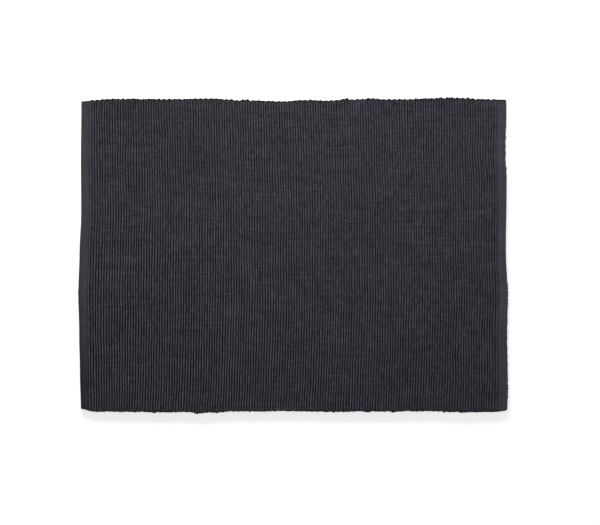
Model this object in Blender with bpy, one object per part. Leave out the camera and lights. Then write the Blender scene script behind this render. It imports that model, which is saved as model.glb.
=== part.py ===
"""Ribbed cotton placemat, woven in one piece and lying flat.

Thick soft cords run across the mat from one long edge to the other, and the threads that cover
them make a rib on both faces over each cord. A cord turns back at the long edge into the next
one, so the ribs end there in pairs, in small scallops. Both short ends are folded under and
pressed into flat hems. The mat rests on its ribs and hems at z = 0, with the ribs along Y.
Metres, +Z up, with the origin under the middle of the mat's box.
"""

import math
from typing import NamedTuple

import bmesh
import bpy

MAT_LENGTH = 0.450  # X, from one hemmed end to the other
MAT_WIDTH = 0.330  # Y, from one woven edge to the other
RIB_COUNT = 156
RIB_THICKNESS = 0.0024  # over the crests on both faces
VALLEY_THICKNESS = 0.0010  # where two ribs meet
CREST_SHARE = 0.36  # the flat crest, as a share of the rib's pitch
LEFT_HEM = 0.0083
RIGHT_HEM = 0.0101
HEM_THICKNESS = 0.0016
FOLD_ROUND = 0.0007  # how far the hem's folded edge rounds in
STITCH_DENT = 0.0006  # how far the hem slopes down to the valley at its stitched inner edge
END_ROLL = 0.0014  # how far a rib's end rounds down at the woven edge
SCALLOP_DEPTH = 0.0008
CORNER_CUT = 0.0007
MIDDLE_ROWS = 3  # rows between the two that carry the ends of the ribs
HEM_REACH = 6  # how fast a hem's own waver dies out towards the middle, as a power
CHARCOAL = (0.046, 0.040, 0.052, 1.0)
CLOTH_ROUGHNESS = 0.92
MERGE_DISTANCE = 0.00001


class Waver(NamedTuple):
    """How far an edge, or a rib, stands out of its straight line at one place along it."""

    at: float
    out: float


LEFT_WAVER = (
    Waver(-0.165, -0.0013),
    Waver(-0.127, 0.0000),
    Waver(-0.083, 0.0011),
    Waver(-0.038, 0.0016),
    Waver(0.000, 0.0008),
    Waver(0.045, -0.0011),
    Waver(0.100, -0.0009),
    Waver(0.165, -0.0020),
)
RIGHT_WAVER = (
    Waver(-0.165, 0.0013),
    Waver(-0.140, 0.0017),
    Waver(-0.085, 0.0005),
    Waver(-0.051, 0.0014),
    Waver(0.000, -0.0004),
    Waver(0.072, 0.0005),
    Waver(0.113, -0.0013),
    Waver(0.165, -0.0004),
)
TOP_WAVER = (
    Waver(-0.225, -0.0026),
    Waver(-0.208, -0.0008),
    Waver(-0.185, 0.0002),
    Waver(-0.090, 0.0006),
    Waver(-0.050, -0.0016),
    Waver(-0.010, -0.0026),
    Waver(0.008, -0.0008),
    Waver(0.041, -0.0015),
    Waver(0.060, -0.0005),
    Waver(0.120, -0.0001),
    Waver(0.170, 0.0014),
    Waver(0.197, 0.0000),
    Waver(0.225, -0.0008),
)
BOTTOM_WAVER = (
    Waver(-0.225, -0.0026),
    Waver(-0.212, -0.0002),
    Waver(-0.190, 0.0004),
    Waver(-0.112, 0.0004),
    Waver(-0.096, 0.0014),
    Waver(-0.058, -0.0005),
    Waver(0.005, -0.0008),
    Waver(0.056, 0.0002),
    Waver(0.135, -0.0006),
    Waver(0.190, 0.0006),
    Waver(0.210, 0.0005),
    Waver(0.225, -0.0010),
)
RIB_WAVER = (
    Waver(-0.165, -0.0014),
    Waver(-0.131, 0.0000),
    Waver(-0.095, 0.0011),
    Waver(-0.050, 0.0020),
    Waver(0.050, 0.0020),
    Waver(0.110, 0.0010),
    Waver(0.165, -0.0003),
)


class Column(NamedTuple):
    """One line of points that runs the whole width of the mat, along a rib or a hem."""

    x: float
    thickness: float
    middle: float  # height of the cloth's own middle over the surface it rests on
    count: float = 0.0  # ribs to the left of the line, whole numbers in the valleys


def wander(table, at):
    """Reads a waver table at one place, easing from each row into the next."""
    if at <= table[0].at:
        return table[0].out
    for low, high in zip(table, table[1:]):
        if at <= high.at:
            share = (at - low.at) / (high.at - low.at)
            return low.out + (high.out - low.out) * share * share * (3 - 2 * share)
    return table[-1].out


def hem_columns(hem_width):
    """The lines of a left-hand hem, from its folded edge to the slope at its stitched one."""
    inner = hem_width - MAT_LENGTH / 2
    middle = HEM_THICKNESS / 2
    return [
        Column(-MAT_LENGTH / 2, 0.0, middle),
        Column(-MAT_LENGTH / 2 + FOLD_ROUND, HEM_THICKNESS, middle),
        Column(inner - STITCH_DENT, HEM_THICKNESS, middle),
    ]


def rib_columns():
    """A valley and both sides of a flat crest for each rib, and the last valley."""
    first = -MAT_LENGTH / 2 + LEFT_HEM
    pitch = (MAT_LENGTH - LEFT_HEM - RIGHT_HEM) / RIB_COUNT
    slope = (1 - CREST_SHARE) / 2
    middle = RIB_THICKNESS / 2
    lines = []
    for rib in range(RIB_COUNT):
        for share, thickness in (
            (0.0, VALLEY_THICKNESS),
            (slope, RIB_THICKNESS),
            (1 - slope, RIB_THICKNESS),
        ):
            lines.append(Column(first + (rib + share) * pitch, thickness, middle, rib + share))
    lines.append(Column(MAT_LENGTH / 2 - RIGHT_HEM, VALLEY_THICKNESS, middle, RIB_COUNT))
    return lines


def all_columns():
    """Every line of the mat from left to right, the right hem being a left one turned round."""
    right_hem = [line._replace(x=-line.x) for line in reversed(hem_columns(RIGHT_HEM))]
    return hem_columns(LEFT_HEM) + rib_columns() + right_hem


def row_places():
    """Places of the rows along Y: both edges, both rows of rib ends and the middle ones."""
    end = MAT_WIDTH / 2 - END_ROLL
    inner = [end * (2 * row / (MIDDLE_ROWS + 1) - 1) for row in range(MIDDLE_ROWS + 2)]
    return [-MAT_WIDTH / 2] + inner + [MAT_WIDTH / 2]


def scallop(count, upper):
    """How far the woven edge is drawn in here: two ribs share each scallop."""
    phase = count if upper else count + 1
    return SCALLOP_DEPTH * (1 - abs(math.sin(math.pi * phase / 2)))


def flat_place(column, y):
    """The place of a point in the plane of the mat, with its edges as uneven as the real ones."""
    rim = abs(y) == MAT_WIDTH / 2
    across = column.x / MAT_LENGTH + 0.5
    along = y / MAT_WIDTH
    bend = wander(RIB_WAVER, y) * math.sqrt(abs(math.sin(math.pi * across)))
    left = wander(LEFT_WAVER, y) * (1 - across) ** HEM_REACH
    right = wander(RIGHT_WAVER, y) * across**HEM_REACH
    place_x = column.x + bend - left + right
    out = wander(TOP_WAVER if y > 0 else BOTTOM_WAVER, column.x)
    place_y = y + 2 * out * along
    if rim and column.thickness == 0.0:
        place_x -= math.copysign(CORNER_CUT, column.x)
        place_y -= math.copysign(CORNER_CUT, y)
    elif rim and 0.0 < column.count < RIB_COUNT:
        place_y -= math.copysign(scallop(column.count, y > 0), y)
    return place_x, place_y


def line_and_row(point, columns, rows):
    """The column and the place along Y that a point of the two by two grid stands for."""
    column = columns[round((point.co.x + 1) / 2 * (len(columns) - 1))]
    return column, rows[round((point.co.y + 1) / 2 * (len(rows) - 1))]


def raise_upper_half(grid, columns, rows):
    """Lifts a flat grid to half the cloth's thickness, leaving its rim at the middle."""
    for point in grid.verts:
        column, y = line_and_row(point, columns, rows)
        point.co.z = column.thickness / 2 if abs(y) < MAT_WIDTH / 2 else 0.0


def lay_out(grid, columns, rows):
    """Moves every point to its place in the mat and rests the cloth on the surface."""
    for point in grid.verts:
        column, y = line_and_row(point, columns, rows)
        point.co.x, point.co.y = flat_place(column, y)
        point.co.z += column.middle


def charcoal_cotton():
    """Matt charcoal cotton with a slight violet cast."""
    material = bpy.data.materials.new("charcoal_cotton")
    material.use_nodes = True
    shader = material.node_tree.nodes["Principled BSDF"]
    shader.inputs["Base Color"].default_value = CHARCOAL
    shader.inputs["Roughness"].default_value = CLOTH_ROUGHNESS
    shader.inputs["Metallic"].default_value = 0.0
    material.diffuse_color = CHARCOAL
    return material


def make_placemat(collection):
    """The whole cloth as one closed solid: an upper half, mirrored about the cloth's middle."""
    columns = all_columns()
    rows = row_places()
    cloth = bmesh.new()
    bmesh.ops.create_grid(
        cloth, x_segments=len(columns) - 1, y_segments=len(rows) - 1, size=1.0
    )
    raise_upper_half(cloth, columns, rows)
    bmesh.ops.mirror(
        cloth,
        geom=cloth.verts[:] + cloth.edges[:] + cloth.faces[:],
        axis="Z",
        merge_dist=MERGE_DISTANCE,
    )
    lay_out(cloth, columns, rows)
    bmesh.ops.recalc_face_normals(cloth, faces=cloth.faces[:])
    mesh = bpy.data.meshes.new("placemat")
    cloth.to_mesh(mesh)
    cloth.free()
    mesh.materials.append(charcoal_cotton())
    placemat = bpy.data.objects.new("placemat", mesh)
    collection.objects.link(placemat)
    return placemat


def main():
    """Clears the scene and builds the placemat in a collection of its own."""
    for thing in list(bpy.data.objects):
        bpy.data.objects.remove(thing, do_unlink=True)
    collection = bpy.data.collections.new("fabric_placemat")
    bpy.context.scene.collection.children.link(collection)
    make_placemat(collection)


main()
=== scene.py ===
"""Looks of a ribbed cotton placemat that lies flat on a pale table, seen from straight above."""

import logging
import math
from abc import ABC, abstractmethod
from dataclasses import dataclass
from enum import Enum
from functools import reduce
from typing import NamedTuple

import bmesh
import bpy
import numpy as np
from mathutils import Matrix, Vector


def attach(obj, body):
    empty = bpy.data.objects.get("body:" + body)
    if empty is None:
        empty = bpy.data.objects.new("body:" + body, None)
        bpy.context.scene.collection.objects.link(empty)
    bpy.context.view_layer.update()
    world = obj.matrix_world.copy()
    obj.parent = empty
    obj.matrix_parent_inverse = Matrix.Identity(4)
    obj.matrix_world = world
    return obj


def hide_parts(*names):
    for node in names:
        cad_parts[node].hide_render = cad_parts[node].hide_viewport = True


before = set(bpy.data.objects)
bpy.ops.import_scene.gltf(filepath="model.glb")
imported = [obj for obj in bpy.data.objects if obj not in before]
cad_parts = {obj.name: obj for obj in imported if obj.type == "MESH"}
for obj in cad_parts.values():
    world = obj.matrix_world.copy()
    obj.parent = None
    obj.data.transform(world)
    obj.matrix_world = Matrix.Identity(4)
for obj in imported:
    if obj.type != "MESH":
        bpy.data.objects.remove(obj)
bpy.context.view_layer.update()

LOG = logging.getLogger("placemat")
MILLIMETRE = 0.001
PHOTO_SCALE = 1.056 * MILLIMETRE  # of the mat for each pixel of the photograph
PHOTO_SIZE = (600, 525)
MAT_CENTRE_PIXEL = (293.05, 255.15)
WEAVE = "weave"  # the cloth's attribute that says where in the weave each point lies
WHITE = (1.0, 1.0, 1.0, 1.0)

Colour = tuple[float, float, float, float]
Socket = bpy.types.NodeSocket
Value = Socket | float | tuple[float, ...]


class Waver(NamedTuple):
    """How far an edge, or a rib, stands out of its straight line at one place along it."""

    at: float
    out: float


def wavers(*rows: tuple[float, float]) -> tuple[Waver, ...]:
    """Makes a waver table of its rows, in order of place."""
    return tuple(Waver(*row) for row in rows)


LEFT_WAVER = wavers(
    (-0.165, -0.0010), (-0.127, 0.0000), (-0.083, 0.0008), (-0.038, 0.0016),
    (0.000, 0.0005), (0.045, -0.0013), (0.100, -0.0010), (0.165, -0.0015),
)
RIGHT_WAVER = wavers(
    (-0.165, 0.0013), (-0.140, 0.0017), (-0.085, 0.0008), (-0.045, 0.0017),
    (0.006, -0.0003), (0.072, 0.0005), (0.113, -0.0012), (0.145, 0.0002),
    (0.165, 0.0002),
)
TOP_WAVER = wavers(
    (-0.225, -0.0026), (-0.208, -0.0008), (-0.185, 0.0001), (-0.138, -0.0002),
    (-0.090, 0.0005), (-0.050, -0.0016), (-0.012, -0.0026), (0.010, -0.0013),
    (0.041, -0.0015), (0.055, -0.0003), (0.085, 0.0002), (0.103, -0.0006),
    (0.120, -0.0002), (0.170, 0.0014), (0.197, 0.0000), (0.225, -0.0008),
)
BOTTOM_WAVER = wavers(
    (-0.225, -0.0026), (-0.212, -0.0002), (-0.190, 0.0004), (-0.118, 0.0008),
    (-0.094, 0.0017), (-0.058, 0.0000), (0.000, -0.0001), (0.056, 0.0002),
    (0.135, -0.0001), (0.190, 0.0010), (0.210, 0.0009), (0.225, -0.0008),
)
RIB_WAVER = wavers(
    (-0.165, -0.0014), (-0.131, 0.0000), (-0.095, 0.0011), (-0.050, 0.0020),
    (0.050, 0.0020), (0.110, 0.0010), (0.165, -0.0003),
)


class Side(Enum):
    """The two short ends of the mat, each with its sign along X."""

    LEFT = -1
    RIGHT = 1


class HemStep(NamedTuple):
    """One line of points along a hem: its place and how thick the folded cloth is there."""

    inside: float
    thickness: float


class Stretch(NamedTuple):
    """A nicked part of a folded edge, from one place along Y to another."""

    start: float
    end: float
    depth: float


class CornerRounds(NamedTuple):
    """How far the two corners of one hem are rounded off."""

    near: float
    far: float


class Rise(NamedTuple):
    """Where a gentle rise from 0 to 1 starts, and where it is full."""

    start: float
    full: float


class Clouds(NamedTuple):
    """Soft noise with clouds so many ribs wide and so many metres long, in a layer of its own."""

    ribs: float
    length: float
    layer: float


def eased(share: np.ndarray) -> np.ndarray:
    """Turns a straight rise from 0 to 1 into one that starts and ends gently."""
    return share * share * (3 - 2 * share)


def read_waver(table: tuple[Waver, ...], at: np.ndarray) -> np.ndarray:
    """Reads a waver table at many places, easing from each row into the next.

    Args:
        table: The rows, in order of place.
        at: Places along the edge, in metres.

    Returns:
        How far the edge stands out at each place, in metres.
    """
    places = np.array([row.at for row in table])
    outs = np.array([row.out for row in table])
    at = np.clip(at, places[0], places[-1])
    low = np.clip(np.searchsorted(places, at, side="right") - 1, 0, len(table) - 2)
    share = eased((at - places[low]) / (places[low + 1] - places[low]))
    return outs[low] + (outs[low + 1] - outs[low]) * share


@dataclass(frozen=True)
class Unevenness:
    """A smooth random field over the cloth, such as hand-woven ribs have.

    Attributes:
        seed: Which field this is.
        ribs: Ribs between two points of the field.
        length: Metres along a rib between two points of the field.
    """

    seed: int
    ribs: float
    length: float

    SPAN = 256

    def at(self, count: np.ndarray, along: np.ndarray) -> np.ndarray:
        """Reads the field.

        Args:
            count: Ribs to the left of each point.
            along: Metres along the rib from the middle of the mat.

        Returns:
            Values from -1 to 1.
        """
        lattice = np.random.default_rng(self.seed).uniform(-1, 1, (self.SPAN, self.SPAN))
        across = count / self.ribs + self.SPAN / 4
        up = along / self.length + self.SPAN / 2
        column, row = np.floor(across).astype(int), np.floor(up).astype(int)
        levels = []
        for level in (row, row + 1):
            left = lattice[level % self.SPAN, column % self.SPAN]
            right = lattice[level % self.SPAN, (column + 1) % self.SPAN]
            levels.append(left + (right - left) * eased(across - column))
        low, high = levels
        return low + (high - low) * eased(up - row)


class Spread(NamedTuple):
    """The whole cloth as arrays of one value for each row and column of its grid."""

    x: np.ndarray
    y: np.ndarray
    half: np.ndarray  # half its thickness
    middle: np.ndarray  # height of its own middle over the table
    count: np.ndarray  # ribs to the left
    along: np.ndarray  # Y in the straight mat
    turn: np.ndarray  # share of the painted shade along the woven edges, from 0 on the ribs to 1 at the edge


@dataclass(frozen=True)
class MatPlan:
    """Sizes of the mat in metres, and where each of its points lies."""

    length: float = 0.450  # from one folded end to the other
    width: float = 0.330  # from one woven edge to the other
    ribs: int = 156
    rib_thickness: float = 0.0024  # over the crests on both faces
    valley_thickness: float = 0.0007
    roundness: float = 0.72  # shape of a rib's back, as a power of its sine
    left_hem: float = 0.0087
    right_hem: float = 0.0101
    hem_thickness: float = 0.0016
    stitch_inset: float = 0.0006  # from a hem's inner edge to its stitches
    hem_reach: int = 6  # how fast a hem's own waver dies out towards the middle, as a power
    near_scallop: float = 0.0004
    far_scallop: float = 0.0008
    scallop_rest: float = 0.72  # how high up a scallop the edge keeps its place
    scallop_reach: float = 0.0016  # how far in from the edge the scallops die out
    seam_thickness: float = 0.0012  # of the valleys beside the hems
    turn_reach: float = 0.0022  # how far in from the edge the ribs begin to join in pairs
    near_edge_shade: float = 0.0012  # how far in from the near edge, and on the next line the far edge, the painted edge shade reaches
    far_edge_shade: float = 0.0019
    middle_rows: int = 38  # between the rows of the two woven edges

    RIB_PHASES = (0.0, 0.1, 0.3, 0.5, 0.7, 0.9)  # columns over one rib, as shares of its pitch
    EDGE_ROWS = (0.0, 0.00018, 0.0005, 0.0010, 0.0017, 0.0027, 0.0045)  # metres in from the edge
    FOLD = (
        HemStep(0.0, 0.0),
        HemStep(0.00020, 0.0010),
        HemStep(0.00055, 0.0015),
        HemStep(0.00105, 0.0018),
        HemStep(0.00210, 0.0019),
        HemStep(0.00360, 0.0018),
    )
    STITCHED = (HemStep(0.0021, 0.0018), HemStep(0.0011, 0.0016), HemStep(0.0, 0.0010))
    ROUNDS = {
        Side.LEFT: CornerRounds(near=0.0010, far=0.0008),
        Side.RIGHT: CornerRounds(near=0.0024, far=0.0016),
    }
    SWAY = Unevenness(seed=11, ribs=7.0, length=0.021)
    WANDER = Unevenness(seed=12, ribs=1.0, length=0.014)
    FULLNESS = Unevenness(seed=13, ribs=1.0, length=0.010)
    SUNKEN = Unevenness(seed=18, ribs=1.0, length=0.013)
    TURN_SIZE = Unevenness(seed=14, ribs=2.0, length=0.050)
    TURN_PUSH = Unevenness(seed=15, ribs=2.6, length=0.050)
    LOOSE_TURN = Unevenness(seed=19, ribs=1.6, length=0.050)
    # How far each unevenness goes: sizes in metres, the others as shares of what they change.
    SWAY_SIZE = 0.00030
    CORNER_SWAY = 1.2  # how much more the ribs sway at the corners
    WANDER_SIZE = 0.00030
    CALM_RIBS = 3  # the ribs beside a hem that its stitches keep from straying
    FULLNESS_SIZE = 0.16
    SUNKEN_SIZE = 0.00022
    TURN_SPREAD = 0.9
    PUSH_SIZE = 0.0005
    LOOSE_SHARE = 0.35  # only where the field is above this does a turn stand out
    LOOSE_SIZE = 0.0022
    SEAM_RIBS = 0.5  # how far the seam's valley reaches from its hem, in ribs
    ROUNDING = 1e-9  # keeps a sine of nearly nothing from falling below nothing

    @property
    def pitch(self) -> float:
        """Metres from one rib to the next."""
        return (self.length - self.left_hem - self.right_hem) / self.ribs

    def hem_width(self, side: Side) -> float:
        """Width of the hem at one end."""
        return self.left_hem if side is Side.LEFT else self.right_hem

    def hem_steps(self, side: Side) -> list[HemStep]:
        """Lines of points of one hem, from its folded edge to its stitches."""
        stitches = self.hem_width(side) - self.stitch_inset
        return [*self.FOLD, *(HemStep(stitches - step.inside, step.thickness) for step in self.STITCHED)]

    def columns(self) -> tuple[np.ndarray, np.ndarray, np.ndarray]:
        """Places of all columns, left to right.

        Returns:
            X of each column in the straight mat, how many ribs lie left of it, and how thick
            the hem is there (nothing on the ribs).
        """
        end = self.length / 2
        first = -end + self.left_hem
        left = [HemStep(step.inside - end, step.thickness) for step in self.hem_steps(Side.LEFT)]
        right = [HemStep(end - step.inside, step.thickness) for step in self.hem_steps(Side.RIGHT)]
        counts = [rib + phase for rib in range(self.ribs) for phase in self.RIB_PHASES] + [self.ribs]
        ribs = [HemStep(first + count * self.pitch, math.nan) for count in counts]
        x, thickness = np.array(left + ribs + right[::-1]).T
        return x, (x - first) / self.pitch, thickness

    def rows(self) -> np.ndarray:
        """Places of all rows.

        Returns:
            Y of each row in the straight mat, from the near woven edge to the far one.
        """
        edge = self.width / 2 - np.array(self.EDGE_ROWS)
        middle = np.linspace(-edge[-1], edge[-1], self.middle_rows + 2)[1:-1]
        return np.concatenate([-edge, middle, edge[::-1]])

    def place(self, x: np.ndarray, y: np.ndarray) -> tuple[np.ndarray, np.ndarray]:
        """Moves points of a straight mat to where the real, uneven cloth has them.

        Args:
            x: X in the straight mat.
            y: Y in the straight mat.

        Returns:
            X and Y of the same points on the uneven mat, without the ends of the ribs.
        """
        across = np.clip(x / self.length + 0.5, 0.0, 1.0)
        bend = read_waver(RIB_WAVER, y) * np.sqrt(np.sin(math.pi * across) + self.ROUNDING)
        left = read_waver(LEFT_WAVER, y) * (1 - across) ** self.hem_reach
        right = read_waver(RIGHT_WAVER, y) * across**self.hem_reach
        out = np.where(y > 0, read_waver(TOP_WAVER, x), read_waver(BOTTOM_WAVER, x))
        return x + bend - left + right, y + 2 * out * y / self.width

    def rib_profile(self, count: np.ndarray) -> np.ndarray:
        """Height across one rib, from 0 in the valley to 1 on the crest."""
        return np.abs(np.sin(math.pi * count)) ** self.roundness

    def pair_profile(self, count: np.ndarray, y: np.ndarray) -> np.ndarray:
        """Height across two ribs that one cord makes by turning back at the woven edge."""
        return np.abs(np.sin(math.pi / 2 * np.where(y > 0, count, count + 1)))

    def spread(self) -> Spread:
        """Works out the whole cloth.

        Returns:
            Place, half thickness, middle height and weave coordinates of every grid point.
        """
        x, count, hem = self.columns()
        x, y = np.meshgrid(x, self.rows())
        count = np.broadcast_to(count, x.shape)
        hem = np.broadcast_to(hem, x.shape)
        ribbed = np.isnan(hem)
        hem = np.nan_to_num(hem)
        inside = self.width / 2 - np.abs(y)
        px, py = self.place(x, y)
        px = px + np.where(ribbed, self._sideways(count, y), 0.0)
        py = py - np.sign(y) * np.where(ribbed, self._drawn_in(count, y, inside), 0.0)
        cut_x, cut_y = self._corners(x, y)
        px, py = px - cut_x, py - cut_y
        hem_half = hem / 2 * self.rounded(inside, self.hem_thickness / 2)
        half = np.where(ribbed, self._rib_half(count, y, inside), hem_half)
        lying = np.where(ribbed, self.rib_thickness, np.maximum(hem, self.hem_thickness))
        # share of the painted shade along the woven edges
        turn = np.clip(1 - inside / np.where(y > 0, self.far_edge_shade, self.near_edge_shade), 0, 1)
        return Spread(px, py, half, lying / 2, count, y, turn)

    def _corners(self, x: np.ndarray, y: np.ndarray) -> tuple[np.ndarray, np.ndarray]:
        """Rounds off the four corners.

        Args:
            x: X in the straight mat.
            y: Y in the straight mat.

        Returns:
            How far each point is drawn in along X and along Y.
        """
        cut_x, cut_y = np.zeros_like(x), np.zeros_like(y)
        for side, rounds in self.ROUNDS.items():
            for end, radius in ((-1, rounds.near), (1, rounds.far)):
                across = np.clip(1 - (self.length / 2 - side.value * x) / radius, 0, 1)
                up = np.clip(1 - (self.width / 2 - end * y) / radius, 0, 1)
                cut_x += side.value * radius * across * (1 - np.sqrt(1 - up * up / 2))
                cut_y += end * radius * up * (1 - np.sqrt(1 - across * across / 2))
        return cut_x, cut_y

    def _sideways(self, count: np.ndarray, y: np.ndarray) -> np.ndarray:
        """Lets the ribs stray sideways.

        Args:
            count: Ribs to the left of each point.
            y: Y in the straight mat.

        Returns:
            How far each rib strays with its neighbours and by itself, in metres.
        """
        share = count - np.floor(count)
        low = self.WANDER.at(np.floor(count), y)
        high = self.WANDER.at(np.floor(count) + 1, y)
        own = (low + (high - low) * share) * self.WANDER_SIZE
        from_hem = np.minimum(count, self.ribs - count)
        corner = eased(np.abs(2 * y / self.width)) * eased(np.abs(2 * count / self.ribs - 1))
        swaying = self.SWAY.at(count, y) * self.SWAY_SIZE * (1 + self.CORNER_SWAY * corner)
        return (swaying + own) * np.clip(from_hem / self.CALM_RIBS, 0, 1)

    def _drawn_in(self, count: np.ndarray, y: np.ndarray, inside: np.ndarray) -> np.ndarray:
        """Shapes the woven edges by the turns of the cords.

        Args:
            count: Ribs to the left of each point.
            y: Y in the straight mat.
            inside: Metres in from the nearer woven edge.

        Returns:
            How far each point is drawn in, in metres.
        """
        depth = np.where(y > 0, self.far_scallop, self.near_scallop)
        depth = depth * (1 + self.TURN_SPREAD * self.TURN_SIZE.at(count, y))
        amount = depth * (self.scallop_rest - self.pair_profile(count, y))
        amount = amount + self.PUSH_SIZE * self.TURN_PUSH.at(count, y)
        loose = np.clip(self.LOOSE_TURN.at(count, y) - self.LOOSE_SHARE, 0, 1)
        amount = amount - self.LOOSE_SIZE * loose
        return amount * np.exp(-inside / self.scallop_reach)

    def _rib_half(self, count: np.ndarray, y: np.ndarray, inside: np.ndarray) -> np.ndarray:
        """Works out how thick the ribbed cloth is.

        Args:
            count: Ribs to the left of each point.
            y: Y in the straight mat.
            inside: Metres in from the nearer woven edge.

        Returns:
            Half the thickness at each point, in metres.
        """
        turned = eased(np.clip(inside / self.turn_reach, 0, 1))
        rise = self.rib_profile(count) * turned + self.pair_profile(count, y) * (1 - turned)
        valley = self.valley_thickness / 2 + self.SUNKEN_SIZE * self.SUNKEN.at(np.round(count), y)
        seam = np.minimum(count, self.ribs - count) < self.SEAM_RIBS
        valley = np.where(seam, self.seam_thickness / 2, valley)
        slack = self.FULLNESS_SIZE * np.clip(self.FULLNESS.at(np.floor(count), y), 0, 1)
        crest = self.rib_thickness / 2 * (1 - slack)
        return (valley + (crest - valley) * rise) * self.rounded(inside, self.rib_thickness / 2)

    @staticmethod
    def rounded(inside: np.ndarray, radius: float) -> np.ndarray:
        """Share of the full thickness at a distance from a round edge."""
        left = 1 - np.clip(inside / radius, 0, 1)
        return np.sqrt(np.clip(1 - left * left, 0, 1))


class NodeBench:
    """Puts together the nodes of one material, or of the world."""

    def __init__(
        self, owner: bpy.types.Material | bpy.types.World, shader: str = "Principled BSDF"
    ) -> None:
        """Starts with the owner's own shader.

        Args:
            owner: The new material, or the world.
            shader: Name of its shader.
        """
        owner.use_nodes = True
        self.tree = owner.node_tree
        self.shader = self.tree.nodes[shader]

    def feed(self, socket: Socket, value: Value) -> None:
        """Links an output to a socket, or sets the socket's own value.

        Args:
            socket: An input of a node.
            value: An output of another node, a number or a colour.
        """
        if isinstance(value, bpy.types.NodeSocket):
            self.tree.links.new(value, socket)
        else:
            socket.default_value = value

    def dress(self, name: str, value: Value) -> None:
        """Feeds an input of the owner's shader."""
        self.feed(self.shader.inputs[name], value)

    def node(self, kind: str, values: dict[str | int, Value], **settings: str) -> bpy.types.Node:
        """Adds a node of a kind and feeds its inputs.

        Args:
            kind: The kind of node.
            values: What its inputs get, by name or number.
            settings: Its own settings.

        Returns:
            The new node.
        """
        made = self.tree.nodes.new(kind)
        for name, value in settings.items():
            setattr(made, name, value)
        for name, value in values.items():
            self.feed(made.inputs[name], value)
        return made

    def object_place(self) -> Socket:
        """The place of a point in its own object, in metres."""
        return self.node("ShaderNodeTexCoord", {}).outputs["Object"]

    def parted(self, vector: Value) -> list[Socket]:
        """Takes a vector apart into its three numbers."""
        return list(self.node("ShaderNodeSeparateXYZ", {0: vector}).outputs)

    def math(self, operation: str, *values: Value) -> Socket:
        """Works out one number from others."""
        return self.node("ShaderNodeMath", dict(enumerate(values)), operation=operation).outputs[0]

    def product(self, *values: Value) -> Socket:
        """Multiplies numbers with each other, one after the other."""
        return reduce(lambda product, value: self.math("MULTIPLY", product, value), values)

    def between(self, share: Value, low: float, high: float) -> Socket:
        """Turns a share from 0 to 1 into a number from low to high."""
        return self.math("MULTIPLY_ADD", share, high - low, low)

    def varied(self, share: Value, spread: float, middle: float = 1.0) -> Socket:
        """Turns a share from 0 to 1 into a number at most a spread off a middle one."""
        return self.between(share, middle - spread, middle + spread)

    def towards(self, share: Value, amount: float) -> Socket:
        """A factor that goes from 1 where a share is 0 to an amount where it is 1."""
        return self.between(share, 1.0, amount)

    def ramp(self, value: Value, low: Value, high: Value) -> Socket:
        """A share that rises gently from 0 where a value is low to 1 where it is high."""
        ends = {"Value": value, "From Min": low, "From Max": high}
        return self.node("ShaderNodeMapRange", ends, interpolation_type="SMOOTHSTEP").outputs["Result"]

    def arch(self, share: Value, power: float) -> Socket:
        """A round back of a thread, 0 at both sides of its share and 1 in the middle."""
        half_turn = self.math("MULTIPLY", share, math.pi)
        return self.math("POWER", self.math("SINE", half_turn), power)

    def combined(self, *values: Value) -> Socket:
        """Makes a vector from three numbers."""
        return self.node("ShaderNodeCombineXYZ", dict(enumerate(values))).outputs[0]

    def cloudy(self, place: Value, scale: float = 1.0, detail: float = 1.0) -> Socket:
        """Soft noise from 0 to 1 at a place."""
        noise = {"Vector": place, "Scale": scale, "Detail": detail}
        return self.node("ShaderNodeTexNoise", noise, noise_dimensions="3D").outputs["Fac"]

    def scattered(self, *place: Value) -> Socket:
        """A number from 0 to 1 that differs from cell to cell."""
        cell = {"Vector": self.combined(*place)}
        return self.node("ShaderNodeTexWhiteNoise", cell, noise_dimensions="3D").outputs["Value"]

    def blended(self, share: Value, low: Value, high: Value) -> Socket:
        """Mixes two colours.

        Args:
            share: How much of the second colour there is, from 0 to 1.
            low: The first colour.
            high: The second colour.

        Returns:
            The mixed colour.
        """
        made = self.node("ShaderNodeMix", {"Factor": share}, data_type="RGBA")
        first, second = [socket for socket in made.inputs if socket.type == "RGBA"]
        self.feed(first, low)
        self.feed(second, high)
        return next(socket for socket in made.outputs if socket.type == "RGBA")

    def scaled(self, colour: Value, amount: Value) -> Socket:
        """Makes a colour darker or lighter by a number."""
        values = {"Vector": colour, "Scale": amount}
        return self.node("ShaderNodeVectorMath", values, operation="SCALE").outputs["Vector"]

    def tinted(self, colour: Value, tint: Value) -> Socket:
        """Multiplies a colour by a tint, channel by channel."""
        values = {0: colour, 1: tint}
        return self.node("ShaderNodeVectorMath", values, operation="MULTIPLY").outputs["Vector"]

    def bumped(self, height: Value, depth: float, strength: float) -> Socket:
        """Turns a height from 0 to 1 into a normal, depth metres deep."""
        values = {"Height": height, "Distance": depth, "Strength": strength}
        return self.node("ShaderNodeBump", values).outputs["Normal"]


class WeaveBench(NodeBench):
    """Puts together the nodes of a woven material, which follow the cloth's own weave.

    Attributes:
        count: Ribs to the left of a point.
        along: Metres along the rib from the middle of the mat.
        turn: Share of the painted shade along the woven edges, from 0 on the ribs to 1 at the edge.
    """

    def __init__(self, material: bpy.types.Material) -> None:
        """Starts with the material's own shader and the cloth's weave coordinates.

        Args:
            material: The new material.
        """
        super().__init__(material)
        weave = self.node("ShaderNodeAttribute", {}, attribute_name=WEAVE)
        self.count, self.along, self.turn = self.parted(weave.outputs["Vector"])

    def clouds(self, kind: Clouds, count: Socket | None = None) -> Socket:
        """Soft noise over the weave.

        Args:
            kind: Size and layer of the clouds.
            count: What stands for the number of ribs to the left, if not that number.

        Returns:
            A share from 0 to 1.
        """
        across = self.math("DIVIDE", self.count if count is None else count, kind.ribs)
        up = self.math("DIVIDE", self.along, kind.length)
        return self.cloudy(self.combined(across, up, kind.layer))


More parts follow.
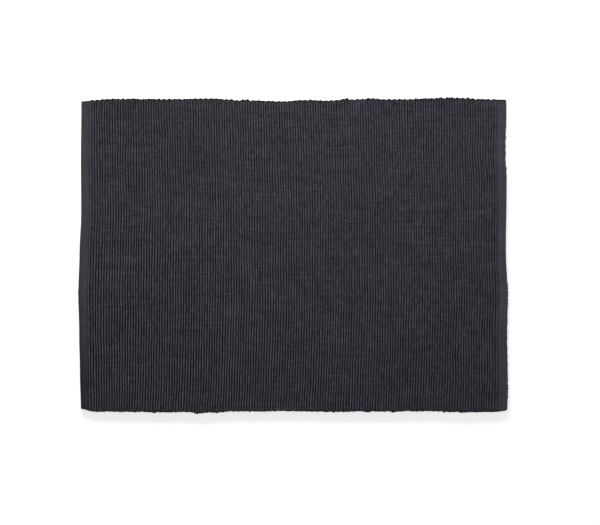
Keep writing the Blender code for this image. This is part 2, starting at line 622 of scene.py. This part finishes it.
class WovenLook(NamedTuple):
    """What one way of weaving gives a material."""

    height: Socket  # of the threads, from 0 to 1
    unshaded: Socket  # from 0 in the painted shade between the ribs and threads to 1 where none is painted
    tone: Socket  # how light the dye is, around 1
    coolness: Socket  # from 0 for a redder dye to 1 for a bluer one
    flank: Value  # from 0 for the redder tint of a rib's side to 1 for the bluer one


@dataclass(frozen=True)
class Cotton(ABC):
    """Matt dyed cotton, whose look comes from the way in which it is woven."""

    warm: Colour  # of the highest threads where the dye is redder
    cool: Colour  # of the highest threads where the dye is bluer
    recess_shade: Colour  # painted shade between the ribs and between the threads
    thread: float  # pitch of the covering threads, in metres
    ribs: int  # how many the mat has
    bump: float  # height of a thread, in metres
    streaky: float  # how much lighter or darker the dye is from one thread to the next

    DYE_LINES = Clouds(ribs=28.0, length=0.0016, layer=1.0)
    DYE_PATCHES = Clouds(ribs=7.0, length=0.025, layer=2.0)
    PATCHY = 0.16  # how much lighter or darker a patch is
    DYE_CASTS = Clouds(ribs=3.0, length=0.009, layer=5.0)
    CAST = 0.9  # how much bluer or redder a cast is
    RED_FLANK = (1.22, 0.965, 0.79, 1.0)  # tints of the two sides of a rib
    BLUE_FLANK = (0.77, 1.04, 1.25, 1.0)
    EVEN_FLANK = 0.5  # halfway between the two
    EDGE_SHADE = (0.0075, 0.0069, 0.0081, 1.0)  # painted shade along the woven edges, where the cords turn
    EDGE_SHADE_RISE = Rise(0.05, 0.45)
    FUZZ_SCALE = 1700.0  # bits of fuzz to a metre
    FUZZ_DETAIL = 3.0
    FUZZ_RELIEF = 0.4  # height of the fuzz, as a share of a thread's
    RELIEF_STRENGTH = 0.8
    SMOOTHEST, ROUGHEST = 0.8, 1.0
    SPECULAR = 0.0
    SHEEN = 0.02
    SHEEN_ROUGHNESS = 0.6
    SHEEN_TINT = (0.62, 0.58, 0.66, 1.0)

    def material(self, name: str) -> bpy.types.Material:
        """Builds the material.

        Args:
            name: Name of the material.

        Returns:
            The new material.
        """
        made = bpy.data.materials.new(name)
        bench = WeaveBench(made)
        look = self._look(bench)
        self._colour(bench, look)
        self._surface(bench, look)
        return made

    @abstractmethod
    def _look(self, bench: WeaveBench) -> WovenLook:
        """Works out the weave itself."""

    def _colour(self, bench: WeaveBench, look: WovenLook) -> None:
        """Colour from the weave, with the unevenness of its dye, painted shade between the ribs and
        threads, and painted shade along the woven edges.

        Args:
            bench: The material's nodes.
            look: What the weave gives.
        """
        lines = bench.varied(bench.clouds(self.DYE_LINES), self.streaky)
        patches = bench.varied(bench.clouds(self.DYE_PATCHES), self.PATCHY)
        casts = bench.varied(bench.clouds(self.DYE_CASTS), self.CAST, middle=0.0)
        lit = bench.blended(bench.math("ADD", look.coolness, casts), self.warm, self.cool)
        lit = bench.tinted(lit, bench.blended(look.flank, self.RED_FLANK, self.BLUE_FLANK))
        amount = bench.product(look.tone, lines, patches)
        # painted shade: the recess shade colour wherever the weave is not on top
        colour = bench.scaled(bench.blended(look.unshaded, self.recess_shade, lit), amount)
        # painted shade along the woven edges
        turned = bench.ramp(bench.turn, *self.EDGE_SHADE_RISE)
        bench.dress("Base Color", bench.blended(turned, colour, self.EDGE_SHADE))

    def _surface(self, bench: WeaveBench, look: WovenLook) -> None:
        """Roughness, relief and sheen of soft spun thread.

        Args:
            bench: The material's nodes.
            look: What the weave gives.
        """
        fuzz = bench.cloudy(bench.object_place(), self.FUZZ_SCALE, self.FUZZ_DETAIL)
        relief = bench.math("MULTIPLY_ADD", fuzz, self.FUZZ_RELIEF, look.height)
        bench.dress("Roughness", bench.between(fuzz, self.SMOOTHEST, self.ROUGHEST))
        bench.dress("Normal", bench.bumped(relief, self.bump, self.RELIEF_STRENGTH))
        bench.dress("Specular IOR Level", self.SPECULAR)
        bench.dress("Sheen Weight", self.SHEEN)
        bench.dress("Sheen Roughness", self.SHEEN_ROUGHNESS)
        bench.dress("Sheen Tint", self.SHEEN_TINT)


@dataclass(frozen=True)
class RibbedCotton(Cotton):
    """Threads side by side over each cord, half a thread on from rib to rib.

    Its constants say where the cloth is darker or bluer and by how much: painted shade in the valleys
    and beside the hems, and a painted fall of light to the right, near right and far left.
    Rises over the ribs are shares of their number from the left, and rises along them are in metres.
    """

    STRAYS = Clouds(ribs=1.0, length=0.009, layer=7.0)
    STRAY = 0.11  # how far the painted shade of a valley strays sideways, in ribs
    THREAD_ROUND = 0.6  # powers of the sine across a thread, and across a rib
    RIB_ROUND = 1.0
    CREST_FULL = 0.98
    THREAD_GAP_SHADE = 0.75  # how much of the full colour the painted shade between two threads leaves
    THREAD_DYE = 0.26
    LUMPS = Clouds(ribs=1.0, length=0.0077, layer=3.0)
    LUMPY = 0.50
    LUMP_STEP = 1.37  # keeps the lumps of one rib apart from those of the next
    # painted fall of light: the ribs darker to the right and to the near right
    TO_RIGHT = Rise(0.25, 1.0)
    TO_NEAR = Rise(-0.06, -0.15)
    RIGHT_SHADE = 0.88
    NEAR_RIGHT_SHADE = 0.93
    FIRST_TO_FAR = Rise(0.0, 0.10)
    FIRST_TONE = 1.2
    LAST_TONE = 0.93
    # painted shade at the far left
    FAR_LEFT_RIBS = Rise(0.40, 0.24)
    FAR_LEFT_ALONG = Rise(0.04, 0.10)
    FAR_LEFT_SHADE = 0.92
    COOLNESS = 0.45
    FLANK_RIBS = Rise(0.66, 0.95)
    FLANK_CASTS = Clouds(ribs=1.5, length=0.012, layer=9.0)
    FLANK_CAST = 0.28
    BESIDE_LAST = Rise(0.4, 2.0)  # ribs in from the right hem
    # painted valley shade beside the hems: how high the rib counts there, and how much darker it is at
    # the far left
    SEAM_FULL = 0.60
    FAR_RIGHT_SEAM = Rise(-0.02, 0.12)
    FAR_RIGHT_FULL = 0.93
    FAR_LEFT_SEAM = Rise(-0.02, 0.06)
    FAR_LEFT_DROP = 0.16
    VALLEY = 0.05  # height of a rib, from 0 to 1, up to which the painted shade of the valley beside it reaches
    LEFT_VALLEY = 0.25  # how much more of it is painted shade at the left end, and at the near edge
    NEAR_VALLEY = 0.22
    VALLEY_TO_NEAR = Rise(0.12, -0.165)

    def _look(self, bench: WeaveBench) -> WovenLook:
        """Works out the weave of the ribs.

        Args:
            bench: The material's nodes.

        Returns:
            What the weave gives.
        """
        stray = bench.varied(bench.clouds(self.STRAYS), self.STRAY, middle=0.0)
        count = bench.math("ADD", stray, bench.count)
        rib = bench.math("FLOOR", count)
        odd = bench.math("FLOORED_MODULO", rib, 2.0)
        turns = bench.math("MULTIPLY_ADD", odd, 0.5, bench.math("DIVIDE", bench.along, self.thread))
        back = bench.arch(bench.math("FRACT", turns), self.THREAD_ROUND)
        crest = bench.arch(bench.math("FRACT", count), self.RIB_ROUND)
        crest = bench.math("MAXIMUM", crest, self._seam(bench))
        high = bench.ramp(crest, self._valley_shade_width(bench), self.CREST_FULL)
        # painted shade between the threads, over the painted shade of the valleys
        unshaded = bench.product(high, bench.between(back, self.THREAD_GAP_SHADE, 1.0))
        right, near = self._over_ribs(bench, self.TO_RIGHT), bench.ramp(bench.along, *self.TO_NEAR)
        lumps = bench.clouds(self.LUMPS, bench.product(rib, self.LUMP_STEP))
        threads = bench.scattered(rib, bench.math("FLOOR", turns), 0.0)
        tone = bench.product(
            bench.varied(lumps, self.LUMPY),
            bench.varied(threads, self.THREAD_DYE),
            # painted fall of light to the right and to the near right
            bench.towards(right, self.RIGHT_SHADE),
            bench.towards(bench.product(right, near), self.NEAR_RIGHT_SHADE),
            self._place_tone(bench),
        )
        coolness = bench.product(bench.math("ADD", right, near), self.COOLNESS, self._off_last(bench))
        return WovenLook(back, unshaded, tone, coolness, self._flank(bench, count))

    def _over_ribs(self, bench: WeaveBench, rise: Rise) -> Socket:
        """A rise over the ribs, whose ends are shares of their number."""
        return bench.ramp(bench.count, self.ribs * rise.start, self.ribs * rise.full)

    def _place_tone(self, bench: WeaveBench) -> Socket:
        """How light the ribs beside the hems are, and the painted shade at the far left.

        Args:
            bench: The material's nodes.

        Returns:
            A factor around 1.
        """
        first = bench.math("LESS_THAN", bench.count, 1.0)
        first = bench.product(first, bench.ramp(bench.along, *self.FIRST_TO_FAR))
        last = bench.math("GREATER_THAN", bench.count, self.ribs - 1)
        far_left = self._over_ribs(bench, self.FAR_LEFT_RIBS)
        far_left = bench.product(far_left, bench.ramp(bench.along, *self.FAR_LEFT_ALONG))
        return bench.product(
            bench.towards(first, self.FIRST_TONE),
            bench.towards(last, self.LAST_TONE),
            bench.towards(far_left, self.FAR_LEFT_SHADE),
        )

    def _flank(self, bench: WeaveBench, count: Socket) -> Socket:
        """Tells the redder flank of a rib from the bluer one, ever plainer to the right end.

        Args:
            bench: The material's nodes.
            count: Ribs to the left, with the stray of the valleys.

        Returns:
            From 0 on a redder flank to 1 on a bluer one.
        """
        from_crest = bench.math("SUBTRACT", bench.math("FRACT", count), 0.5)
        casts = bench.varied(bench.clouds(self.FLANK_CASTS), self.FLANK_CAST, middle=0.0)
        strength = bench.product(self._over_ribs(bench, self.FLANK_RIBS), self._off_last(bench))
        flank = bench.math("ADD", from_crest, casts)
        return bench.math("MULTIPLY_ADD", flank, strength, self.EVEN_FLANK)

    def _off_last(self, bench: WeaveBench) -> Socket:
        """Falls to 0 on the last rib, which takes the colour of the right hem."""
        beside, clear = self.BESIDE_LAST
        return bench.ramp(bench.count, self.ribs - beside, self.ribs - clear)

    def _seam(self, bench: WeaveBench) -> Socket:
        """How high the rib counts beside a hem, where there is no true valley, so that the painted
        valley shade there is lighter.

        Args:
            bench: The material's nodes.

        Returns:
            The least height of the rib there, and 0 elsewhere.
        """
        from_right = bench.math("SUBTRACT", self.ribs, bench.count)
        from_hem = bench.math("MINIMUM", bench.count, from_right)
        beside = bench.math("LESS_THAN", from_hem, MatPlan.SEAM_RIBS)
        right = bench.math("GREATER_THAN", bench.count, self.ribs / 2)
        left = bench.math("SUBTRACT", 1.0, right)
        far_right = bench.product(right, bench.ramp(bench.along, *self.FAR_RIGHT_SEAM))
        far_left = bench.product(left, bench.ramp(bench.along, *self.FAR_LEFT_SEAM))
        full = bench.between(far_right, self.SEAM_FULL, self.FAR_RIGHT_FULL)
        return bench.product(beside, bench.math("MULTIPLY_ADD", far_left, -self.FAR_LEFT_DROP, full))

    def _valley_shade_width(self, bench: WeaveBench) -> Socket:
        """How wide the painted shade between two ribs is: wider to the left and to the near edge.

        Args:
            bench: The material's nodes.

        Returns:
            The height of the rib up to which the shade is painted.
        """
        left = bench.ramp(bench.count, self.ribs, 0.0)
        near = bench.ramp(bench.along, *self.VALLEY_TO_NEAR)
        width = bench.math("MULTIPLY_ADD", left, self.LEFT_VALLEY, self.VALLEY)
        return bench.math("MULTIPLY_ADD", near, self.NEAR_VALLEY, width)


@dataclass(frozen=True)
class HemCotton(Cotton):
    """Plain weave, in which threads go over and under each other one by one."""

    pitch: float  # of the ribs, in metres
    right_ribs: float  # width of the right hem, in ribs
    near: float  # how light the near ends of the hems are
    near_left: float  # how much of that is left at the near end of the left hem
    left_fold_shade: float  # painted shade: how light the left hem's fold is towards the near end
    right_fold_highlight: float  # painted highlight: how light the right hem's fold is

    THREAD_ROUND = 0.5  # power of the sine across a thread
    UNDER = 0.72  # height of a thread that goes under
    THREAD_GAP_SHADE = 0.55  # how much of the full colour the painted shade between the threads leaves
    THREAD_DYE = 0.24
    STREAKS = Clouds(ribs=0.33, length=0.06, layer=6.0)
    STREAK = 0.42
    COOL_TO_NEAR = Rise(-0.03, -0.15)
    TO_NEAR = Rise(-0.035, -0.15)
    TO_LEFT_FOLD = Rise(-1.3, -2.6)  # in ribs, as are the next two
    TO_GROOVE = Rise(-0.6, -0.15)
    BEFORE_RIGHT_FOLD = Rise(0.7, 0.3)
    FOLD_TO_NEAR = Rise(0.10, -0.03)
    # painted shade in the groove beside the left hem's stitches
    GROOVE_SHADE = 0.80

    def _look(self, bench: WeaveBench) -> WovenLook:
        """Works out the weave of the hems.

        Args:
            bench: The material's nodes.

        Returns:
            What the weave gives.
        """
        across = bench.product(bench.count, self.pitch / self.thread)
        up = bench.math("DIVIDE", bench.along, self.thread)
        cell_x, cell_y = bench.math("FLOOR", across), bench.math("FLOOR", up)
        odd = bench.math("FLOORED_MODULO", bench.math("ADD", cell_x, cell_y), 2.0)
        backs = [bench.arch(bench.math("FRACT", way), self.THREAD_ROUND) for way in (across, up)]
        back = bench.product(*backs)
        height = bench.product(back, bench.between(odd, self.UNDER, 1.0))
        tone = bench.product(
            bench.varied(bench.scattered(cell_x, cell_y, 0.0), self.THREAD_DYE),
            self._tone_and_painted_light(bench),
            bench.varied(bench.clouds(self.STREAKS), self.STREAK),
        )
        coolness = bench.ramp(bench.along, *self.COOL_TO_NEAR)
        # painted shade between the threads of the hem
        unshaded = bench.between(back, self.THREAD_GAP_SHADE, 1.0)
        return WovenLook(height, unshaded, tone, coolness, self.EVEN_FLANK)

    def _tone_and_painted_light(self, bench: WeaveBench) -> Socket:
        """How dark the hems are to their near ends, with painted shade at the left fold and in the
        groove by the left seam, and a painted highlight on the right fold.

        Args:
            bench: The material's nodes.

        Returns:
            A factor around 1.
        """
        left = bench.math("LESS_THAN", bench.count, 0.0)
        near = bench.ramp(bench.along, *self.TO_NEAR)
        fold = bench.product(left, bench.ramp(bench.count, *self.TO_LEFT_FOLD))
        fold = bench.product(fold, bench.ramp(bench.along, *self.FOLD_TO_NEAR))
        groove = bench.product(left, bench.ramp(bench.count, *self.TO_GROOVE))
        pale = [self.ribs + self.right_ribs - before for before in self.BEFORE_RIGHT_FOLD]
        return bench.product(
            bench.towards(near, self.near),
            bench.towards(bench.product(left, near), self.near_left),
            # painted shade at the left fold and in the groove, painted highlight on the right fold
            bench.towards(fold, self.left_fold_shade),
            bench.towards(groove, self.GROOVE_SHADE),
            bench.towards(bench.ramp(bench.count, *pale), self.right_fold_highlight),
        )


@dataclass(frozen=True)
class SewingFinish:
    """Twisted sewing thread of the mat's own colour."""

    colour: tuple[float, float, float]
    twist: float = 0.0005  # metres from one ply to the next
    ply_round: float = 0.7  # power of the sine across a ply
    ply_gap_shade: float = 0.6  # painted shade between two plies and painted highlight on top of one: how light the thread is there
    ply_top_light: float = 1.1
    relief_strength: float = 0.7
    roughness: float = 0.7
    specular: float = 0.25

    def material(self, name: str) -> bpy.types.Material:
        """Builds the material.

        Args:
            name: Name of the material.

        Returns:
            The new material.
        """
        made = bpy.data.materials.new(name)
        bench = NodeBench(made)
        x, y, _ = bench.parted(bench.object_place())
        slant = bench.math("DIVIDE", bench.math("ADD", x, y), self.twist)
        ply = bench.arch(bench.math("FRACT", slant), self.ply_round)
        # painted shade between the plies and painted highlight on their tops
        shade = bench.between(ply, self.ply_gap_shade, self.ply_top_light)
        bench.dress("Base Color", bench.scaled(self.colour, shade))
        bench.dress("Normal", bench.bumped(ply, self.twist / 6, self.relief_strength))
        bench.dress("Roughness", self.roughness)
        bench.dress("Specular IOR Level", self.specular)
        return made


def finished(shape: bmesh.types.BMesh, name: str, *finishes: bpy.types.Material) -> bpy.types.Object:
    """Makes an object of a finished bmesh and puts it in the scene.

    Args:
        shape: The bmesh, which is freed here.
        name: Name of the object and its mesh.
        finishes: Its materials, in order.

    Returns:
        The new object.
    """
    mesh = bpy.data.meshes.new(name)
    shape.to_mesh(mesh)
    shape.free()
    for finish in finishes:
        mesh.materials.append(finish)
    made = bpy.data.objects.new(name, mesh)
    bpy.context.scene.collection.objects.link(made)
    return made


@dataclass
class RibbedCloth:
    """The whole woven cloth, hems included, as one closed sheet."""

    plan: MatPlan
    ribbed: RibbedCotton
    hemmed: HemCotton
    nick_pitch: float = 0.0026
    nick_cuts: int = 9  # in each edge of the mesh along a nicked fold

    MERGE = 0.000001
    ON_VALLEY = 0.001  # how near to a whole number of ribs a point counts as in the valley
    ON_RIM = 0.01  # how near to the folded edge a point counts as on it, in ribs
    NICKED = {
        Side.LEFT: (Stretch(-0.065, -0.030, 0.0004),),
        Side.RIGHT: (Stretch(-0.155, -0.028, 0.0005), Stretch(0.070, 0.132, 0.0007)),
    }
    NICK_SIZE = Unevenness(seed=20, ribs=1.0, length=0.004)
    NICK_SPREAD = 0.8

    def build(self) -> bpy.types.Object:
        """Weaves the cloth and dresses it.

        Returns:
            The cloth's object.
        """
        spread = self.plan.spread()
        cloth = bmesh.new()
        rows, columns = spread.x.shape
        bmesh.ops.create_grid(cloth, x_segments=columns - 1, y_segments=rows - 1, size=1.0)
        for point in cloth.verts:
            point.co.z = spread.half[self._grid_place(point, spread)]
        whole = cloth.verts[:] + cloth.edges[:] + cloth.faces[:]
        bmesh.ops.mirror(cloth, geom=whole, axis="Z", merge_dist=self.MERGE)
        self._lay(cloth, spread)
        self._shade(cloth)
        for side, stretches in self.NICKED.items():
            for stretch in stretches:
                self._nick(cloth, side, stretch)
        bmesh.ops.recalc_face_normals(cloth, faces=cloth.faces[:])
        finishes = self.ribbed.material("ribbed_cotton"), self.hemmed.material("hem_cotton")
        return finished(cloth, "ribbed_cloth", *finishes)

    @staticmethod
    def _grid_place(point: bmesh.types.BMVert, spread: Spread) -> tuple[int, int]:
        """Row and column of a point of the two by two grid."""
        rows, columns = spread.x.shape
        return round((point.co.y + 1) / 2 * (rows - 1)), round((point.co.x + 1) / 2 * (columns - 1))

    def _lay(self, cloth: bmesh.types.BMesh, spread: Spread) -> None:
        """Moves every point to its place, and notes where in the weave it lies.

        Args:
            cloth: The two by two grid, at half its thickness above and below.
            spread: Where the points belong.
        """
        weave = cloth.verts.layers.float_vector.new(WEAVE)
        for point in cloth.verts:
            at = self._grid_place(point, spread)
            point[weave] = Vector((spread.count[at], spread.along[at], spread.turn[at]))
            point.co = Vector((spread.x[at], spread.y[at], point.co.z + spread.middle[at]))

    def _shade(self, cloth: bmesh.types.BMesh) -> None:
        """Keeps the valleys sharp and the rest smooth, and gives the hems their own finish.

        Args:
            cloth: The cloth, laid in its place.
        """
        weave = cloth.verts.layers.float_vector[WEAVE]
        for edge in cloth.edges:
            edge.smooth = not all(self._in_valley(point[weave].x) for point in edge.verts)
        for face in cloth.faces:
            face.smooth = True
            face.material_index = int(any(self._in_hem(point[weave].x) for point in face.verts))

    def _in_hem(self, count: float) -> bool:
        """Whether a point with so many ribs to its left is on a hem."""
        return not -self.MERGE < count < self.plan.ribs + self.MERGE * self.plan.ribs

    def _in_valley(self, count: float) -> bool:
        """Whether a point with so many ribs to its left is between two ribs."""
        return not self._in_hem(count) and abs(count - round(count)) < self.ON_VALLEY

    def _nick(self, cloth: bmesh.types.BMesh, side: Side, stretch: Stretch) -> None:
        """Makes the threads stand out one by one along a stretch of a folded edge.

        Args:
            cloth: The cloth, laid in its place.
            side: The end of the mat.
            stretch: The part of its folded edge.
        """
        weave = cloth.verts.layers.float_vector[WEAVE]
        counts = self.plan.columns()[1]
        rim = counts[0] if side is Side.LEFT else counts[-1]
        points = {
            point
            for point in cloth.verts
            if abs(point[weave].x - rim) < self.ON_RIM and stretch.start < point[weave].y < stretch.end
        }
        edges = [edge for edge in cloth.edges if all(point in points for point in edge.verts)]
        made = bmesh.ops.subdivide_edges(cloth, edges=edges, cuts=self.nick_cuts)
        for point in made["geom_inner"]:
            if isinstance(point, bmesh.types.BMVert):
                along = point[weave].y
                wave = abs(math.sin(math.pi * along / self.nick_pitch))
                size = 1 + self.NICK_SPREAD * self.NICK_SIZE.at(np.zeros(1), np.array([along]))
                point.co.x += side.value * stretch.depth * wave * float(size[0])


@dataclass
class HemStitching:
    """Rows of small sunken stitches that hold both hems, on both faces of the mat."""

    plan: MatPlan
    finish: SewingFinish
    stitch_length: float = 0.0024
    stitch_gap: float = 0.0007
    end_gap: float = 0.003  # from a woven edge to the first stitch, at least
    thread_radius: float = 0.00016
    sink: float = 0.00008  # how deep the thread sinks into the cloth
    round_faces: int = 7
    long_faces: int = 6

    def build(self) -> bpy.types.Object:
        """Sews both hems.

        Returns:
            One object with every stitch.
        """
        sewing = bmesh.new()
        for side in Side:
            self._sew(sewing, side)
        bmesh.ops.recalc_face_normals(sewing, faces=sewing.faces[:])
        for face in sewing.faces:
            face.smooth = True
        return finished(sewing, "hem_stitches", self.finish.material("sewing_cotton"))

    def _sew(self, sewing: bmesh.types.BMesh, side: Side) -> None:
        """Adds the stitches of one hem, on its upper and its lower face.

        Args:
            sewing: The stitches so far.
            side: The end of the mat.
        """
        step = self.stitch_length + self.stitch_gap
        number = int((self.plan.width - 2 * self.end_gap) / step)
        inset = self.plan.hem_width(side) - self.plan.stitch_inset
        x = side.value * (self.plan.length / 2 - inset)
        dent = self.plan.STITCHED[-1].thickness / 2
        for index in range(number):
            y = (index - (number - 1) / 2) * step
            low, high = self._place(x, y - step / 2), self._place(x, y + step / 2)
            turn = math.atan2(high.x - low.x, high.y - low.y)
            for face in (1, -1):
                height = self.plan.hem_thickness / 2 + face * (dent + self.thread_radius - self.sink)
                self._stitch(sewing, (low + high) / 2 + Vector((0, 0, height)), -turn)

    def _place(self, x: float, y: float) -> Vector:
        """A point of the straight mat on the uneven one, at the height of the table."""
        px, py = self.plan.place(np.array([x]), np.array([y]))
        return Vector((float(px[0]), float(py[0]), 0.0))

    def _stitch(self, sewing: bmesh.types.BMesh, centre: Vector, turn: float) -> None:
        """Adds one stitch, turned by so many radians from the Y axis."""
        size = Matrix.Diagonal((self.thread_radius, self.stitch_length / 2, self.thread_radius, 1.0))
        bmesh.ops.create_uvsphere(
            sewing,
            u_segments=self.round_faces,
            v_segments=self.long_faces,
            radius=1.0,
            matrix=Matrix.Translation(centre) @ Matrix.Rotation(turn, 4, "Z") @ size,
        )


@dataclass(frozen=True)
class SoftLight:
    """A soft rectangular lamp that faces the middle of the mat, with its sizes in metres."""

    name: str
    place: tuple[float, float, float]
    size: tuple[float, float]
    watts: float

    def build(self) -> bpy.types.Object:
        """Hangs the lamp.

        Returns:
            The lamp's object.
        """
        lamp = bpy.data.lights.new(self.name, "AREA")
        lamp.shape = "RECTANGLE"
        lamp.size, lamp.size_y = self.size
        lamp.energy = self.watts
        made = bpy.data.objects.new(self.name, lamp)
        made.location = self.place
        facing = Vector() - Vector(self.place)
        made.rotation_euler = facing.to_track_quat("-Z", "Y").to_euler()
        made.visible_camera = False
        bpy.context.scene.collection.objects.link(made)
        return made


@dataclass
class Studio:
    """A pale table, soft light and the camera of the photograph."""

    table_size: float = 8.0
    table_shade: float = 0.9
    glow: Rise = Rise(0.45, 0.80)  # how far from its middle the table begins to glow
    sky: float = 0.155
    lens: float = 180.0  # in millimetres, as the sensor
    sensor: float = 36.0
    sight: float = 50.0  # how far the camera sees

    LAMPS = (
        SoftLight("low_from_far", place=(-0.26, 1.265, 0.20), size=(1.03, 0.183), watts=54.5),
        SoftLight("low_from_left", place=(-3.53, 0.865, 1.468), size=(0.35, 0.44), watts=26.0),
        SoftLight("overhead", place=(0.5, 0.0, 3.8), size=(1.6, 1.6), watts=111.7),
    )

    def build(self) -> None:
        """Sets up the table, the lamps, the sky and the camera."""
        self._table()
        for lamp in self.LAMPS:
            lamp.build()
        self._sky()
        self._camera()

    def _table(self) -> None:
        """Lays the plain pale table under the mat, which glows white farther out as a backdrop."""
        top = bmesh.new()
        bmesh.ops.create_grid(top, x_segments=1, y_segments=1, size=self.table_size / 2)
        paint = bpy.data.materials.new("table_white")
        bench = NodeBench(paint)
        bench.dress("Base Color", (*(self.table_shade,) * 3, 1.0))
        bench.dress("Roughness", 1.0)
        bench.dress("Specular IOR Level", 0.0)
        bench.dress("Emission Color", WHITE)
        away = bench.node("ShaderNodeVectorMath", {0: bench.object_place()}, operation="LENGTH")
        bench.dress("Emission Strength", bench.ramp(away.outputs["Value"], *self.glow))
        paint.cycles.emission_sampling = "NONE"
        made = finished(top, "table", paint)

    def _sky(self) -> None:
        """Lights the scene evenly from all round, and looks white behind it."""
        world = bpy.data.worlds.new("studio")
        bpy.context.scene.world = world
        bench = NodeBench(world, "Background")
        seen = bench.node("ShaderNodeLightPath", {}).outputs["Is Camera Ray"]
        bench.dress("Strength", bench.between(seen, self.sky, 1.0))
        bench.dress("Color", WHITE)

    def _camera(self) -> None:
        """Hangs the camera straight over the middle of the photograph, far up."""
        eye = bpy.data.cameras.new("overhead")
        eye.sensor_width = self.sensor
        eye.lens = self.lens
        eye.clip_end = self.sight
        made = bpy.data.objects.new("overhead", eye)
        middle_x = (PHOTO_SIZE[0] / 2 - MAT_CENTRE_PIXEL[0]) * PHOTO_SCALE
        middle_y = (MAT_CENTRE_PIXEL[1] - PHOTO_SIZE[1] / 2) * PHOTO_SCALE
        up = PHOTO_SIZE[0] * PHOTO_SCALE * self.lens / self.sensor
        made.location = (middle_x, middle_y, up)
        bpy.context.scene.collection.objects.link(made)
        bpy.context.scene.camera = made
        bpy.context.scene.view_settings.view_transform = "Standard"


def main() -> None:
    """Builds the mat and its studio in order, and logs how many faces the stitches have and when the
    studio is ready.
    """
    logging.basicConfig(level=logging.INFO, format="%(name)s: %(message)s")
    plan = MatPlan()
    ribbed = RibbedCotton(
        warm=(0.0469, 0.0425, 0.0530, 1.0),
        cool=(0.0453, 0.0422, 0.0569, 1.0),
        recess_shade=(0.0063, 0.0055, 0.0077, 1.0),
        thread=0.00085,
        ribs=plan.ribs,
        bump=0.00016,
        streaky=0.45,
    )
    hemmed = HemCotton(
        warm=(0.0430, 0.0368, 0.0447, 1.0),
        cool=(0.0403, 0.0364, 0.0473, 1.0),
        recess_shade=(0.0174, 0.0153, 0.0184, 1.0),
        thread=0.00080,
        ribs=plan.ribs,
        bump=0.00010,
        streaky=0.30,
        pitch=plan.pitch,
        right_ribs=plan.right_hem / plan.pitch,
        near=0.84,
        near_left=0.69,
        left_fold_shade=0.80,
        right_fold_highlight=1.35,
    )
    cloth = RibbedCloth(plan, ribbed, hemmed).build()
    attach(cloth, "root")
    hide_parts("placemat")
    sewing = SewingFinish(colour=(0.031, 0.027, 0.033))
    stitches = HemStitching(plan, sewing).build()
    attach(stitches, "root")
    LOG.info("stitches: %d faces", len(stitches.data.polygons))
    Studio().build()
    LOG.info("studio ready")


if __name__ == "__main__":
    main()
